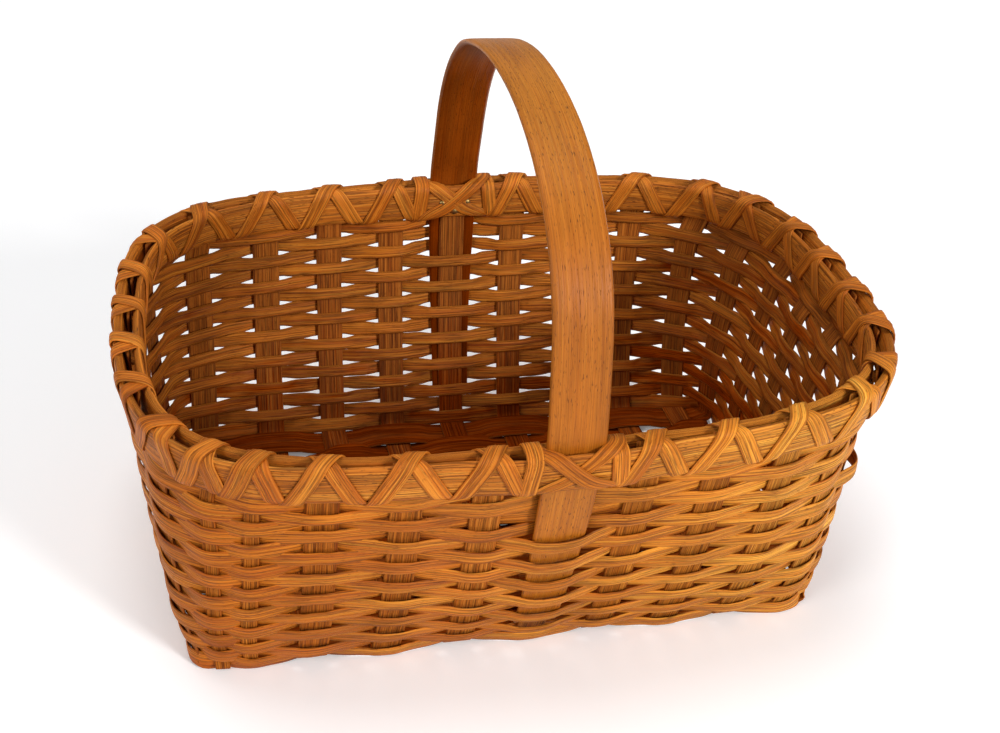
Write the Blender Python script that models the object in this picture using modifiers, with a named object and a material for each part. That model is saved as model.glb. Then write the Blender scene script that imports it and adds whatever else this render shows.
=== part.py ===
"""A split hickory market basket: woven base and walls, lashed rim hoops and one fixed handle.

The base lies on z = 0 with its middle at the origin. +X runs along the basket, +Y away from the
viewer and +Z up. Every splint is an open strip that Solidify gives its thickness. Splints that
touch on the real basket lie one GAP apart.
"""
from bisect import bisect_left
from functools import lru_cache
from math import cos, floor, hypot, pi, sin

import bmesh
import bpy
from mathutils import Vector

MM = 0.001

# The wall's middle surface, which the upright stakes follow.
RIM_LENGTH = 273.6 * MM
RIM_WIDTH = 194 * MM
RIM_HEIGHT = 110.3 * MM     # top of the hoops at the middle of the basket
RIM_RISE = 3.9 * MM         # how much higher the rim is at the right end than at the middle
BASE_LENGTH = 248 * MM
BASE_WIDTH = 140 * MM
BULGE_SHARE = 0.8           # 0 is a straight flare, 1 is upright at the rim
BASE_SQUARENESS = 24        # exponents of the outline: 2 is an ellipse, more is squarer
LEFT_SQUARENESS = 3.7
RIGHT_SQUARENESS = 3.2
SQUARENESS_EASE = 0.6

# Splints.
GAP = 0.3 * MM
STAKE_THICK = 1.0 * MM
STAKE_WIDTH = 11 * MM
CROSS_STAKES = 9
LONG_STAKES = 6
CORNER_INSET = 15 * MM      # outermost crosswise stake's middle to the base's end
RIM_CORNER_INSET = 27.8 * MM    # and to the rim's end
SIDE_INSET = 8.2 * MM       # outermost lengthwise stake's middle to the base's side
RIM_SIDE_INSET = 33 * MM    # and to the rim's side
FILLER_WIDTH = 12 * MM
TURN_UP = 2.4 * MM          # size of the bend where a stake leaves the base
STAKE_TOP_DROP = 1.5 * MM   # stake ends below the top of the hoops
SLIT_WIDTH = 0.6 * MM       # the first crosswise stake is slit in two up the front wall
SLIT_DEPTH = 22 * MM        # how far into the base its slit begins
FORK_FOOT = 5 * MM          # its tongues' middles to its own middle, at the base and at the rim
FORK_HEAD = 6.9 * MM

WEAVER_THICK = 0.9 * MM
WEAVER_WIDTH = 4.8 * MM
EDGE_CLEAR = 0.5 * MM       # a weaver keeps its offset this far past a stake's edges
ROW_GAP = 0.3 * MM
FIRST_ROW_HEIGHT = 6.5 * MM
FIRST_ROW_SLACK = 0.2 * MM  # the lowest row stands off the stakes' bends
WEAVER_TURNS = 2            # turns round the basket in one length of weaver
ROW_SETTLE = 4              # stations over which the rows spread at the end and close at the start

# Rim.
HOOP_HEIGHT = 14.8 * MM
OUTER_HOOP_THICK = 3.5 * MM
INNER_HOOP_THICK = 3.0 * MM
HOOP_BEVEL = 0.9 * MM
CORNER_SLACK = 2.4 * MM     # the outer hoop stands off the stakes round the ends
SLACK_START_SHARE = 0.5
SLACK_FULL_SHARE = 0.85
HOOP_STEPS = 90
LASHING_THICK = 0.7 * MM
SLANT_STEPS = 3
LASHING_WIDTH = 6 * MM
FOLD_WIDTH_SHARE = 1.35     # a strand's slanting folds over the hoops' edges, to its own width

# Handle.
STRAP_WIDTH = 20.7 * MM
STRAP_THICK = 2.4 * MM
STRAP_BEVEL = 0.5 * MM
TAIL_WIDTH = 16.5 * MM
TAIL_FOOT = 17 * MM         # height at which the tails end
TAIL_FREE_ROWS = 4          # top rows that all pass behind the front tail
ARCH_RISE = 90.5 * MM       # from the rim to the strap's middle at the top
ARCH_SPAN = 191.4 * MM
ARCH_SIDE_POWER = 2.12      # the arch's curve: 2 is an ellipse, more is squarer
ARCH_TOP_POWER = 2.75
ARCH_SETTLE = 28 * MM       # height over which the strap leans in from the rim to the arch
ARCH_STEPS = 28
STRAP_EASE = 40 * MM        # over which the outer hoop comes back in beside the strap
TACK_HEAD_RADIUS = 1.4 * MM
TACK_HEAD_HEIGHT = 0.7 * MM
TACK_SHANK_RADIUS = 0.5 * MM
TACK_BITE_SHARE = 0.6       # how deep the shank goes into the strap
TACK_ASIDE = 5.4 * MM       # the upper two tacks' distance from the strap's middle
TACK_HIGH_DROP = 7.6 * MM   # from the top of the hoop down to the upper two
TACK_LOW_DROP = 11.4 * MM
TACK_SIDES = 8

BASE_MIDDLE = 1.5 * STAKE_THICK + GAP      # height of the flat crosswise stakes' middle
LAYER = STAKE_THICK + GAP                  # base layers above and below it
OVER_STAKE = (STAKE_THICK + WEAVER_THICK) / 2 + GAP
STRAP_OFFSET = (STAKE_THICK + STRAP_THICK) / 2 + GAP
OVER_STRAP = OVER_STAKE + STRAP_THICK + GAP
INNER_HOOP_OFFSET = (STAKE_THICK + INNER_HOOP_THICK) / 2 + GAP
OUTER_HOOP_OFFSET = (STAKE_THICK + OUTER_HOOP_THICK) / 2 + GAP
LASHING_ROOM = 2 * LASHING_THICK + 3 * GAP
WALL_HEIGHT = RIM_HEIGHT - BASE_MIDDLE
HOOP_FOOT_SHARE = 1 - HOOP_HEIGHT / WALL_HEIGHT
STAKE_TOP_SHARE = 1 - STAKE_TOP_DROP / WALL_HEIGHT
STEP_SHARE = 0.001          # for slopes taken by small differences
TABLE_STEPS = 720
WALL_STEPS = 9
CROWDING_POWER = 1.6        # stake sections lie closer together near the base
FRONT, BACK, LEFT, RIGHT = "front", "back", "left", "right"
SPLIT_STAKE = 0             # which crosswise stake is slit


def clear_scene():
    for item in list(bpy.data.objects):
        bpy.data.objects.remove(item, do_unlink=True)


def new_collection(name, hidden=False):
    made = bpy.data.collections.new(name)
    made.hide_render = hidden
    bpy.context.scene.collection.children.link(made)
    return made


def principled(name, colour, roughness, metallic=0.0):
    made = bpy.data.materials.new(name)
    made.use_nodes = True
    shader = made.node_tree.nodes["Principled BSDF"]
    shader.inputs["Base Color"].default_value = (*colour, 1)
    shader.inputs["Roughness"].default_value = roughness
    shader.inputs["Metallic"].default_value = metallic
    made.diffuse_color = (*colour, 1)
    return made


def blend(low, high, share):
    return low + (high - low) * share


def ease(share):
    """0 to 1 with level ends."""
    share = min(max(share, 0), 1)
    return share * share * (3 - 2 * share)


# The wall.

def half_sizes(share):
    """Half length and half width of the wall's outline at a share of its height."""
    flare = share + BULGE_SHARE * share * (1 - share)
    return blend(BASE_LENGTH, RIM_LENGTH, flare) / 2, blend(BASE_WIDTH, RIM_WIDTH, flare) / 2


def squareness(share, x):
    rim = LEFT_SQUARENESS if x < 0 else RIGHT_SQUARENESS
    return 1 / blend(1 / BASE_SQUARENESS, 1 / rim, max(share, 0) ** SQUARENESS_EASE)


def wall_height(share, x):
    return BASE_MIDDLE + share * (WALL_HEIGHT + RIM_RISE * x / (RIM_LENGTH / 2))


def other_half(place, half_along, half_across, power):
    """The superellipse's other coordinate."""
    ratio = min(abs(place) / half_along, 1)
    return half_across * (1 - ratio ** power) ** (1 / power)


def wall_point(side, place, share):
    """The wall's middle surface: place is x on the long sides and y on the ends."""
    length, width = half_sizes(share)
    if side in (FRONT, BACK):
        x = place
        y = other_half(x, length, width, squareness(share, x)) * (-1 if side == FRONT else 1)
    else:
        y = place
        sign = -1 if side == LEFT else 1
        x = other_half(y, width, length, squareness(share, sign)) * sign
    return Vector((x, y, wall_height(share, x)))


def wall_frame(side, place, share):
    """A point of the wall, with its directions along (anticlockwise from above), up and out."""
    step = STEP_SHARE * (RIM_LENGTH if side in (FRONT, BACK) else RIM_WIDTH)
    forward = 1 if side in (FRONT, RIGHT) else -1
    along = wall_point(side, place + forward * step, share)
    along = (along - wall_point(side, place - forward * step, share)).normalized()
    up = wall_point(side, place, share + STEP_SHARE) - wall_point(side, place, share - STEP_SHARE)
    out = along.cross(up.normalized()).normalized()
    return wall_point(side, place, share), along, out.cross(along), out


# Stakes and where they stand.

def spaced(count, inset, size):
    reach = size / 2 - inset
    return [blend(-reach, reach, index / (count - 1)) for index in range(count)]


CROSS_PLACES = spaced(CROSS_STAKES, CORNER_INSET, BASE_LENGTH)
CROSS_HEADS = spaced(CROSS_STAKES, RIM_CORNER_INSET, RIM_LENGTH)
LONG_PLACES = spaced(LONG_STAKES, SIDE_INSET, BASE_WIDTH)
LONG_HEADS = spaced(LONG_STAKES, RIM_SIDE_INSET, RIM_WIDTH)
FILLER_PLACES = [(a + b) / 2 for a, b in zip(LONG_PLACES, LONG_PLACES[1:])]
TONGUE_WIDTH = (STAKE_WIDTH - SLIT_WIDTH) / 2


class Station:
    """One upright in the wall: a stake, or a tongue of the split one."""

    def __init__(self, side, foot, head, width, strap=False):
        self.side, self.foot, self.head, self.width, self.strap = side, foot, head, width, strap

    def place(self, share):
        return blend(self.foot, self.head, share)

    def frame(self, share):
        return wall_frame(self.side, self.place(share), share)


def stations():
    """All uprights, anticlockwise from the front's left."""
    middle = CROSS_STAKES // 2
    cross = list(zip(CROSS_PLACES, CROSS_HEADS))
    ends = list(zip(LONG_PLACES, LONG_HEADS))
    front = [Station(FRONT, x, head, STAKE_WIDTH, x is CROSS_PLACES[middle]) for x, head in cross]
    x, head = cross[SPLIT_STAKE]
    front[SPLIT_STAKE:SPLIT_STAKE + 1] = [
        Station(FRONT, x + way * FORK_FOOT, head + way * FORK_HEAD, TONGUE_WIDTH)
        for way in (-1, 1)
    ]
    rear = [Station(BACK, x, head, STAKE_WIDTH, x is CROSS_PLACES[middle]) for x, head in cross]
    right = [Station(RIGHT, y, head, STAKE_WIDTH) for y, head in ends]
    left = [Station(LEFT, y, head, STAKE_WIDTH) for y, head in ends]
    return front + right + rear[::-1] + left[::-1]


STATIONS = stations()


def strip(name, pairs, thickness, material, collection, closed=False, bevel=None):
    """A splint: an open strip between two edges, given its thickness by Solidify."""
    mesh = bpy.data.meshes.new(name)
    shape = bmesh.new()
    rungs = [[shape.verts.new(point) for point in pair] for pair in pairs]
    for near, far in zip(rungs, rungs[1:] + (rungs[:1] if closed else [])):
        for left in range(len(near) - 1):
            shape.faces.new((near[left], near[left + 1], far[left + 1], far[left]))
    shape.to_mesh(mesh)
    shape.free()
    return thicken(name, mesh, thickness, material, collection, bevel)


def thicken(name, mesh, thickness, material, collection, bevel=None):
    made = bpy.data.objects.new(name, mesh)
    collection.objects.link(made)
    mesh.materials.append(material)
    solid = made.modifiers.new("Thickness", "SOLIDIFY")
    solid.thickness = thickness
    solid.offset = 0
    solid.use_even_offset = True
    solid.use_quality_normals = True
    if bevel:
        rounded = made.modifiers.new("Edges", "BEVEL")
        rounded.width = bevel
        rounded.segments = 1
        rounded.limit_method = "ANGLE"
    return made


def across(centre, direction, width):
    return [centre - direction * width / 2, centre + direction * width / 2]


def upright_sections(station, direction):
    """Sections of a stake from its bend to its top, as (middle, width direction)."""
    turn = TURN_UP / WALL_HEIGHT
    sections = []
    for index in range(WALL_STEPS + 1):
        share = blend(turn, STAKE_TOP_SHARE, (index / WALL_STEPS) ** CROWDING_POWER)
        centre, along, _, _ = station.frame(share)
        sections.append((centre, along * direction))
    return sections


def bend_sections(station, flat_way, direction):
    """The start of the bend: back along the base from the wall's foot, then half way round."""
    foot, along, _, _ = station.frame(0)
    start = foot - flat_way * TURN_UP
    end = station.frame(TURN_UP / WALL_HEIGHT)[0]
    halfway = (start + 2 * foot + end) / 4
    flat_along = Vector((abs(flat_way.y), abs(flat_way.x), 0))
    if flat_along.dot(along * direction) < 0:
        flat_along.negate()
    return [(start, flat_along), (halfway, (flat_along + along * direction).normalized())]


def leg(station, flat_way, direction):
    """Bend and upright together, from the base upwards."""
    return bend_sections(station, flat_way, direction) + upright_sections(station, direction)


def station_at(side, foot):
    return next(s for s in STATIONS if s.side == side and abs(s.foot - foot) < EDGE_CLEAR)


def cross_stake(index, material, collection):
    """A crosswise stake: up the back wall, flat across the base and up the front wall."""
    x = CROSS_PLACES[index]
    rear = leg(station_at(BACK, x), Vector((0, 1, 0)), -1)
    front = leg(station_at(FRONT, x), Vector((0, -1, 0)), 1)
    sections = rear[::-1] + front
    pairs = [across(centre, direction, STAKE_WIDTH) for centre, direction in sections]
    return strip(f"cross_stake_{index + 1}", pairs, STAKE_THICK, material, collection)


def split_stake(index, material, collection):
    """The crosswise stake whose front leg is slit into two tongues, so the wall's count is odd."""
    x = CROSS_PLACES[index]
    name = f"cross_stake_{index + 1}"
    mesh = bpy.data.meshes.new(name)
    shape = bmesh.new()
    rear = leg(station_at(BACK, x), Vector((0, 1, 0)), -1)
    front_foot = STATIONS[0].frame(0)[0].y
    fork = Vector((x, front_foot + SLIT_DEPTH, BASE_MIDDLE))
    body = rear[::-1] + [(fork, Vector((1, 0, 0)))]
    rungs = []
    for centre, direction in body:
        left, right = across(centre, direction, STAKE_WIDTH)
        rungs.append([shape.verts.new(point) for point in (left, centre, right)])
    for near, far in zip(rungs, rungs[1:]):
        for lane in (0, 1):
            shape.faces.new((near[lane], near[lane + 1], far[lane + 1], far[lane]))
    for lane, station in enumerate(STATIONS[:2]):
        last = rungs[-1][lane:lane + 2]
        for centre, direction in leg(station, Vector((0, -1, 0)), 1):
            now = [shape.verts.new(point) for point in across(centre, direction, TONGUE_WIDTH)]
            shape.faces.new((last[0], last[1], now[1], now[0]))
            last = now
    shape.to_mesh(mesh)
    shape.free()
    return thicken(name, mesh, STAKE_THICK, material, collection)


def base_run(y, row):
    """Sections along the base that pass over and under the crosswise stakes in turn."""
    sections = []
    for index, x in enumerate(CROSS_PLACES):
        level = BASE_MIDDLE + LAYER * (1 if (index + row) % 2 else -1)
        half = FORK_FOOT + TONGUE_WIDTH / 2 if index == SPLIT_STAKE else STAKE_WIDTH / 2
        for way in (-1, 1):
            place = x + way * (half + EDGE_CLEAR)
            sections.append((Vector((place, y, level)), Vector((0, 1, 0))))
    return sections


def long_stake(index, material, collection):
    """A lengthwise stake: up the left end, woven along the base and up the right end."""
    y = LONG_PLACES[index]
    left = leg(station_at(LEFT, y), Vector((-1, 0, 0)), -1)
    right = leg(station_at(RIGHT, y), Vector((1, 0, 0)), 1)
    sections = left[::-1] + base_run(y, 2 * index + 1) + right
    pairs = [across(centre, direction, STAKE_WIDTH) for centre, direction in sections]
    return strip(f"long_stake_{index + 1}", pairs, STAKE_THICK, material, collection)


def base_filler(index, material, collection):
    """A splint that fills the base between two lengthwise stakes and stops at its ends."""
    y = FILLER_PLACES[index]
    reach = BASE_LENGTH / 2 - TURN_UP
    left, right = ((Vector((x, y, BASE_MIDDLE)), Vector((0, 1, 0))) for x in (-reach, reach))
    sections = [left] + base_run(y, 2 * index) + [right]
    pairs = [across(centre, direction, FILLER_WIDTH) for centre, direction in sections]
    return strip(f"base_filler_{index + 1}", pairs, STAKE_THICK, material, collection)


# Weavers: one long spiral, laid in lengths.

FIRST_ROW_SHARE = (FIRST_ROW_HEIGHT - BASE_MIDDLE) / WALL_HEIGHT
LAST_ROW_SHARE = 1 - (HOOP_HEIGHT + LASHING_ROOM + WEAVER_WIDTH / 2) / WALL_HEIGHT
FRONT_COUNT = sum(1 for s in STATIONS if s.side == FRONT)
SPIRAL_TURNS = floor(
    (LAST_ROW_SHARE - FIRST_ROW_SHARE) * WALL_HEIGHT / (WEAVER_WIDTH + ROW_GAP)
    - FRONT_COUNT / len(STATIONS)
)
CROSSINGS = SPIRAL_TURNS * len(STATIONS) + FRONT_COUNT + 1


def crossing_share(crossing):
    """Share of the wall's height of the weaver at a crossing, counted from the spiral's start.

    Past the spiral's end there is one row fewer, so the rows spread to fill the wall. They close up
    again towards its start, where the lowest row climbs onto its own beginning.
    """
    row, place = divmod(crossing, len(STATIONS))
    wall = LAST_ROW_SHARE - FIRST_ROW_SHARE
    close, wide = wall / SPIRAL_TURNS, wall / (SPIRAL_TURNS - 1)
    spread = ease((place - FRONT_COUNT) / ROW_SETTLE)
    climb = ease((place - len(STATIONS)) / ROW_SETTLE + 1)
    return FIRST_ROW_SHARE + climb * close + row * blend(close, wide, spread - climb)


def passes_outside(crossing):
    """Plain weave, but the top rows all pass behind the handle's front tail."""
    station = STATIONS[crossing % len(STATIONS)]
    row = crossing // len(STATIONS)
    if station.strap and station.side == FRONT and row > SPIRAL_TURNS - TAIL_FREE_ROWS:
        return False
    return (row + crossing % len(STATIONS)) % 2 == 1


def weaver_sections(crossing, start_half=False, end_half=False):
    """Two sections, at the stake's two edges. A length's first and last crossing is half one."""
    station = STATIONS[crossing % len(STATIONS)]
    share = crossing_share(crossing)
    centre, along, up, out = station.frame(share)
    height = wall_height(share, centre.x)
    beside_tail = station.strap and height + WEAVER_WIDTH / 2 > TAIL_FOOT
    reach = (STRAP_WIDTH if beside_tail else station.width) / 2 + EDGE_CLEAR
    if passes_outside(crossing):
        slack = FIRST_ROW_SLACK if crossing < len(STATIONS) else 0
        middle = centre + out * ((OVER_STRAP if beside_tail else OVER_STAKE) + slack)
    else:
        middle = centre - out * OVER_STAKE
    first = GAP / 2 if start_half else -reach
    last = -GAP / 2 if end_half else reach
    return [across(middle + along * place, up, WEAVER_WIDTH) for place in (first, last)]


def weaver_lengths():
    """The first and last crossing of each length of weaver."""
    turn = WEAVER_TURNS * len(STATIONS)
    count = max(1, SPIRAL_TURNS // WEAVER_TURNS)
    starts = [index * turn for index in range(count)]
    return list(zip(starts, starts[1:] + [CROSSINGS - 1]))


def weaver(index, first, last, material, collection):
    pairs = []
    for crossing in range(first, last + 1):
        starts_here = crossing == first and first > 0
        ends_here = crossing == last and last < CROSSINGS - 1
        pairs += weaver_sections(crossing, starts_here, ends_here)
    return strip(f"weaver_{index + 1}", pairs, WEAVER_THICK, material, collection)


# The rim.

@lru_cache(maxsize=None)
def outline_table(share):
    """Points round the wall at one share of its height, from the front's middle, and their runs."""
    length, width = half_sizes(share)
    points = []
    for step in range(TABLE_STEPS + 1):
        angle = 2 * pi * step / TABLE_STEPS - pi / 2
        c, s = cos(angle), sin(angle)
        power = squareness(share, c)
        radius = (abs(c / length) ** power + abs(s / width) ** power) ** (-1 / power)
        x, y = radius * c, radius * s
        points.append(Vector((x, y, wall_height(share, x))))
    runs = [0.0]
    for near, far in zip(points, points[1:]):
        runs.append(runs[-1] + (far - near).length)
    return points, runs


def rim_point(run_share, share, offset):
    """A point round the wall at a share of the way round, moved out by an offset."""
    points, runs = outline_table(share)
    run = (run_share % 1) * runs[-1]
    index = min(max(bisect_left(runs, run), 1), len(points) - 1)
    near, far = points[index - 1], points[index]
    point = near.lerp(far, (run - runs[index - 1]) / (runs[index] - runs[index - 1]))
    out = (far - near).cross(Vector((0, 0, 1))).normalized()
    return point + out * offset


def run_share_of(target):
    """How far round the rim a point lies, as a share."""
    points, runs = outline_table(1)
    nearest = min(range(TABLE_STEPS), key=lambda index: (points[index] - target).length)
    return runs[nearest] / runs[-1]


def outer_slack(run_share):
    """How far the outer hoop stands off the stakes beyond a plain fit: at the strap and the ends."""
    x = abs(rim_point(run_share, 1, 0).x)
    beside = (x - STRAP_WIDTH / 2 - EDGE_CLEAR) / STRAP_EASE
    at_strap = (STRAP_THICK + GAP) * (1 - ease(beside))
    ends = x / (RIM_LENGTH / 2) - SLACK_START_SHARE
    return at_strap + CORNER_SLACK * ease(ends / (SLACK_FULL_SHARE - SLACK_START_SHARE))


def hoop_pairs(offset_at):
    pairs = []
    for step in range(HOOP_STEPS):
        place = step / HOOP_STEPS
        offset = offset_at(place)
        pairs.append([rim_point(place, HOOP_FOOT_SHARE, offset), rim_point(place, 1, offset)])
    return pairs


def outer_hoop(material, collection):
    pairs = hoop_pairs(lambda place: OUTER_HOOP_OFFSET + outer_slack(place))
    return strip("outer_hoop", pairs, OUTER_HOOP_THICK, material, collection, True, HOOP_BEVEL)


def inner_hoop(material, collection):
    pairs = hoop_pairs(lambda place: -INNER_HOOP_OFFSET)
    return strip("inner_hoop", pairs, INNER_HOOP_THICK, material, collection, True, HOOP_BEVEL)


def rim_places():
    """How far round the rim each station stands, as shares that only grow."""
    shares = [run_share_of(station.frame(1)[0]) for station in STATIONS]
    for index in range(1, len(shares)):
        if shares[index] < shares[index - 1]:
            shares[index] += 1
    return shares


TOP_PLACES = rim_places()
RIM_RUN = outline_table(1)[1][-1]


def hole_place(index):
    """The lashing's hole between a station and the one before it."""
    count = len(STATIONS)
    before, after = STATIONS[(index - 1) % count], STATIONS[index % count]
    near = TOP_PLACES[(index - 1) % count] + (index - 1) // count
    far = TOP_PLACES[index % count] + index // count
    near_half = (STRAP_WIDTH if before.strap else before.width) / 2 / RIM_RUN
    far_half = (STRAP_WIDTH if after.strap else after.width) / 2 / RIM_RUN
    return (near + near_half + far - far_half) / 2


def top_place(index, forward):
    """Where the lashing crosses the rim's top: over the stake, or past one side of the strap."""
    count = len(STATIONS)
    station = STATIONS[index % count]
    place = TOP_PLACES[index % count] + index // count
    if not station.strap:
        return place
    aside = ((STRAP_WIDTH + FOLD_WIDTH_SHARE * LASHING_WIDTH) / 2 + EDGE_CLEAR) / RIM_RUN
    crosses_outside = station.side == FRONT
    return place + aside * (1 if forward == crosses_outside else -1)


class Winding:
    """Where one layer of lashing runs round the section of the two hoops."""

    def __init__(self, layer):
        self.proud = GAP + LASHING_THICK / 2 + layer * (LASHING_THICK + GAP)
        self.foot = HOOP_FOOT_SHARE - self.proud / WALL_HEIGHT
        self.head = 1 + self.proud / WALL_HEIGHT

    def offset(self, place, outward):
        if outward:
            return OUTER_HOOP_OFFSET + OUTER_HOOP_THICK / 2 + outer_slack(place) + self.proud
        return -(INNER_HOOP_OFFSET + INNER_HOOP_THICK / 2 + self.proud)

    def point(self, place, share, outward):
        return rim_point(place, share, self.offset(place, outward))

    def fold(self, place, share, outward):
        """A strand's width where it folds over a hoop's edge."""
        half = FOLD_WIDTH_SHARE * LASHING_WIDTH / 2 / RIM_RUN
        return [self.point(place + way * half, share, outward) for way in (-1, 1)]

    def slant(self, start, end, rise, outward):
        """Widths square to a strand's own path where it slants up or down a face of the hoops."""
        run = (end - start) * RIM_RUN
        length = hypot(run, HOOP_HEIGHT)
        lean = LASHING_WIDTH / 2 * HOOP_HEIGHT / length / RIM_RUN
        tilt = LASHING_WIDTH / 2 * -run * rise / length / WALL_HEIGHT
        low, high = (self.foot, self.head) if rise > 0 else (self.head, self.foot)
        for step in range(1, SLANT_STEPS):
            place = blend(start, end, step / SLANT_STEPS)
            share = blend(low, high, step / SLANT_STEPS)
            yield [self.point(place + way * lean, share + way * tilt, outward) for way in (-1, 1)]


def lashing(name, forward, layer, material, collection):
    """A strip that winds round both hoops, through one hole between each two stakes."""
    winding = Winding(layer)
    turns = []
    for index in range(1, len(STATIONS) + 1):
        start, top, end = hole_place(index), top_place(index, forward), hole_place(index + 1)
        if not forward:
            start, end = end, start
        turns.append([winding.fold(start, winding.foot, False),
                      winding.fold(start, winding.foot, True),
                      *winding.slant(start, top, 1, True),
                      winding.fold(top, winding.head, True),
                      winding.fold(top, winding.head, False),
                      *winding.slant(top, end, -1, False)])
    if not forward:
        turns.reverse()
    pairs = [pair for turn in turns for pair in turn]
    return strip(name, pairs, LASHING_THICK, material, collection)


# The handle.

def strap_width_at(height):
    return blend(TAIL_WIDTH, STRAP_WIDTH, ease((height - TAIL_FOOT) / (RIM_HEIGHT - TAIL_FOOT)))


def tail_points(station):
    """The strap's middle line from the foot of a tail to the rim, outside its stake."""
    foot_share = (TAIL_FOOT - BASE_MIDDLE) / WALL_HEIGHT
    points = []
    for step in range(WALL_STEPS):
        centre, _, _, out = station.frame(blend(foot_share, 1, step / WALL_STEPS))
        points.append(centre + out * STRAP_OFFSET)
    return points


def arch_points(half_span_at_rim):
    points = []
    for step in range(ARCH_STEPS + 1):
        angle = pi * step / ARCH_STEPS
        c, s = cos(angle), sin(angle)
        rise = ARCH_RISE * max(s, 0) ** (2 / ARCH_TOP_POWER)
        lean = (half_span_at_rim - ARCH_SPAN / 2) * (1 - ease(rise / ARCH_SETTLE))
        y = ARCH_SPAN / 2 * abs(c) ** (2 / ARCH_SIDE_POWER) + lean
        points.append(Vector((0, y * (-1 if c > 0 else 1), RIM_HEIGHT + rise)))
    return points


def handle_strap(material, collection):
    front, rear = (s for s in STATIONS if s.strap)
    half_span = -front.frame(1)[0].y + STRAP_OFFSET
    line = tail_points(front) + arch_points(half_span) + tail_points(rear)[::-1]
    pairs = [across(point, Vector((1, 0, 0)), strap_width_at(point.z)) for point in line]
    return strip("handle_strap", pairs, STRAP_THICK, material, collection, False, STRAP_BEVEL)


# Tacks.

def turned(name, profile, collection, steps):
    """A round piece about its own Z, from a profile that runs down its outer side."""
    mesh = bpy.data.meshes.new(name)
    edges = [(index, index + 1) for index in range(len(profile) - 1)]
    mesh.from_pydata([(radius, 0, z) for radius, z in profile], edges, [])
    made = bpy.data.objects.new(name, mesh)
    collection.objects.link(made)
    screw = made.modifiers.new("Turn", "SCREW")
    screw.steps = screw.render_steps = steps
    screw.use_merge_vertices = True
    screw.merge_threshold = GAP / 10
    return made


TACK_REACH = (INNER_HOOP_THICK + STAKE_THICK + 2 * GAP) + TACK_BITE_SHARE * STRAP_THICK


def tack_place(station, across_by, below):
    """The point of the inner hoop's inner face where a tack enters, and the way it is driven."""
    share = 1 - below / WALL_HEIGHT
    centre, along, _, out = station.frame(share)
    face = centre - out * (INNER_HOOP_OFFSET + INNER_HOOP_THICK / 2)
    return face + along * across_by, out


def tack(name, station, across_by, below, material, collection, cutters, bored):
    """A brass tack, its head let in flush with the hoop's inner face."""
    face, inward = tack_place(station, across_by, below)
    head = [(0, 0), (0.7 * TACK_HEAD_RADIUS, -0.15 * TACK_HEAD_HEIGHT),
            (TACK_HEAD_RADIUS, -0.6 * TACK_HEAD_HEIGHT), (TACK_HEAD_RADIUS, -TACK_HEAD_HEIGHT)]
    shank = [(TACK_SHANK_RADIUS, -TACK_HEAD_HEIGHT),
             (TACK_SHANK_RADIUS, 2 * TACK_SHANK_RADIUS - TACK_REACH), (0, -TACK_REACH)]
    made = turned(name, head + shank, collection, TACK_SIDES)
    made.data.materials.append(material)
    step = -TACK_HEAD_HEIGHT - GAP
    hole = turned(name + "_hole",
                  [(0, GAP), (TACK_HEAD_RADIUS + GAP, GAP), (TACK_HEAD_RADIUS + GAP, step),
                   (TACK_SHANK_RADIUS + GAP, step), (TACK_SHANK_RADIUS + GAP, -TACK_REACH - GAP),
                   (0, -TACK_REACH - GAP)], cutters, TACK_SIDES)
    for item in (made, hole):
        item.location = face
        item.rotation_euler = (-inward).to_track_quat("Z", "Y").to_euler()
    hole.hide_render = True
    hole.display_type = "WIRE"
    for piece in bored:
        cut = piece.modifiers.new(name, "BOOLEAN")
        cut.operation = "DIFFERENCE"
        cut.object = hole
    return made


def build():
    clear_scene()
    basket = new_collection("split_hickory_basket")
    cutters = new_collection("cutters", hidden=True)
    stake_wood = principled("stake hickory", (0.40, 0.135, 0.022), 0.62)
    weaver_wood = principled("weaver hickory", (0.50, 0.19, 0.034), 0.55)
    hoop_wood = principled("hoop hickory", (0.52, 0.19, 0.032), 0.52)
    lashing_wood = principled("lashing hickory", (0.50, 0.165, 0.028), 0.52)
    strap_wood = principled("handle hickory", (0.52, 0.185, 0.045), 0.42)
    brass = principled("brass", (0.62, 0.43, 0.16), 0.4, 1.0)

    cross = [(split_stake if index == SPLIT_STAKE else cross_stake)(index, stake_wood, basket)
             for index in range(CROSS_STAKES)]
    for index in range(LONG_STAKES):
        long_stake(index, stake_wood, basket)
    for index in range(LONG_STAKES - 1):
        base_filler(index, stake_wood, basket)
    for index, (first, last) in enumerate(weaver_lengths()):
        weaver(index, first, last, weaver_wood, basket)
    inner = inner_hoop(hoop_wood, basket)
    outer_hoop(hoop_wood, basket)
    lashing("lashing_forward", True, 0, lashing_wood, basket)
    lashing("lashing_return", False, 1, lashing_wood, basket)
    strap = handle_strap(strap_wood, basket)
    places = ((-TACK_ASIDE, TACK_HIGH_DROP), (TACK_ASIDE, TACK_HIGH_DROP), (0, TACK_LOW_DROP))
    for station in (s for s in STATIONS if s.strap):
        for index, (across_by, below) in enumerate(places):
            name = f"tack_{station.side}_{index + 1}"
            bored = (inner, cross[CROSS_STAKES // 2], strap)
            tack(name, station, across_by, below, brass, basket, cutters, bored)


build()
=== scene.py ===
"""The looks of a split hickory basket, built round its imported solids.

The wall, the rim and the handle follow the same curves as the solids. Each splint is swept as a
strip with its own uneven edges, ribs and grain.
"""
from math import cos, pi, radians, sin

import bpy
import numpy as np
from mathutils import Matrix, Vector


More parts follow.
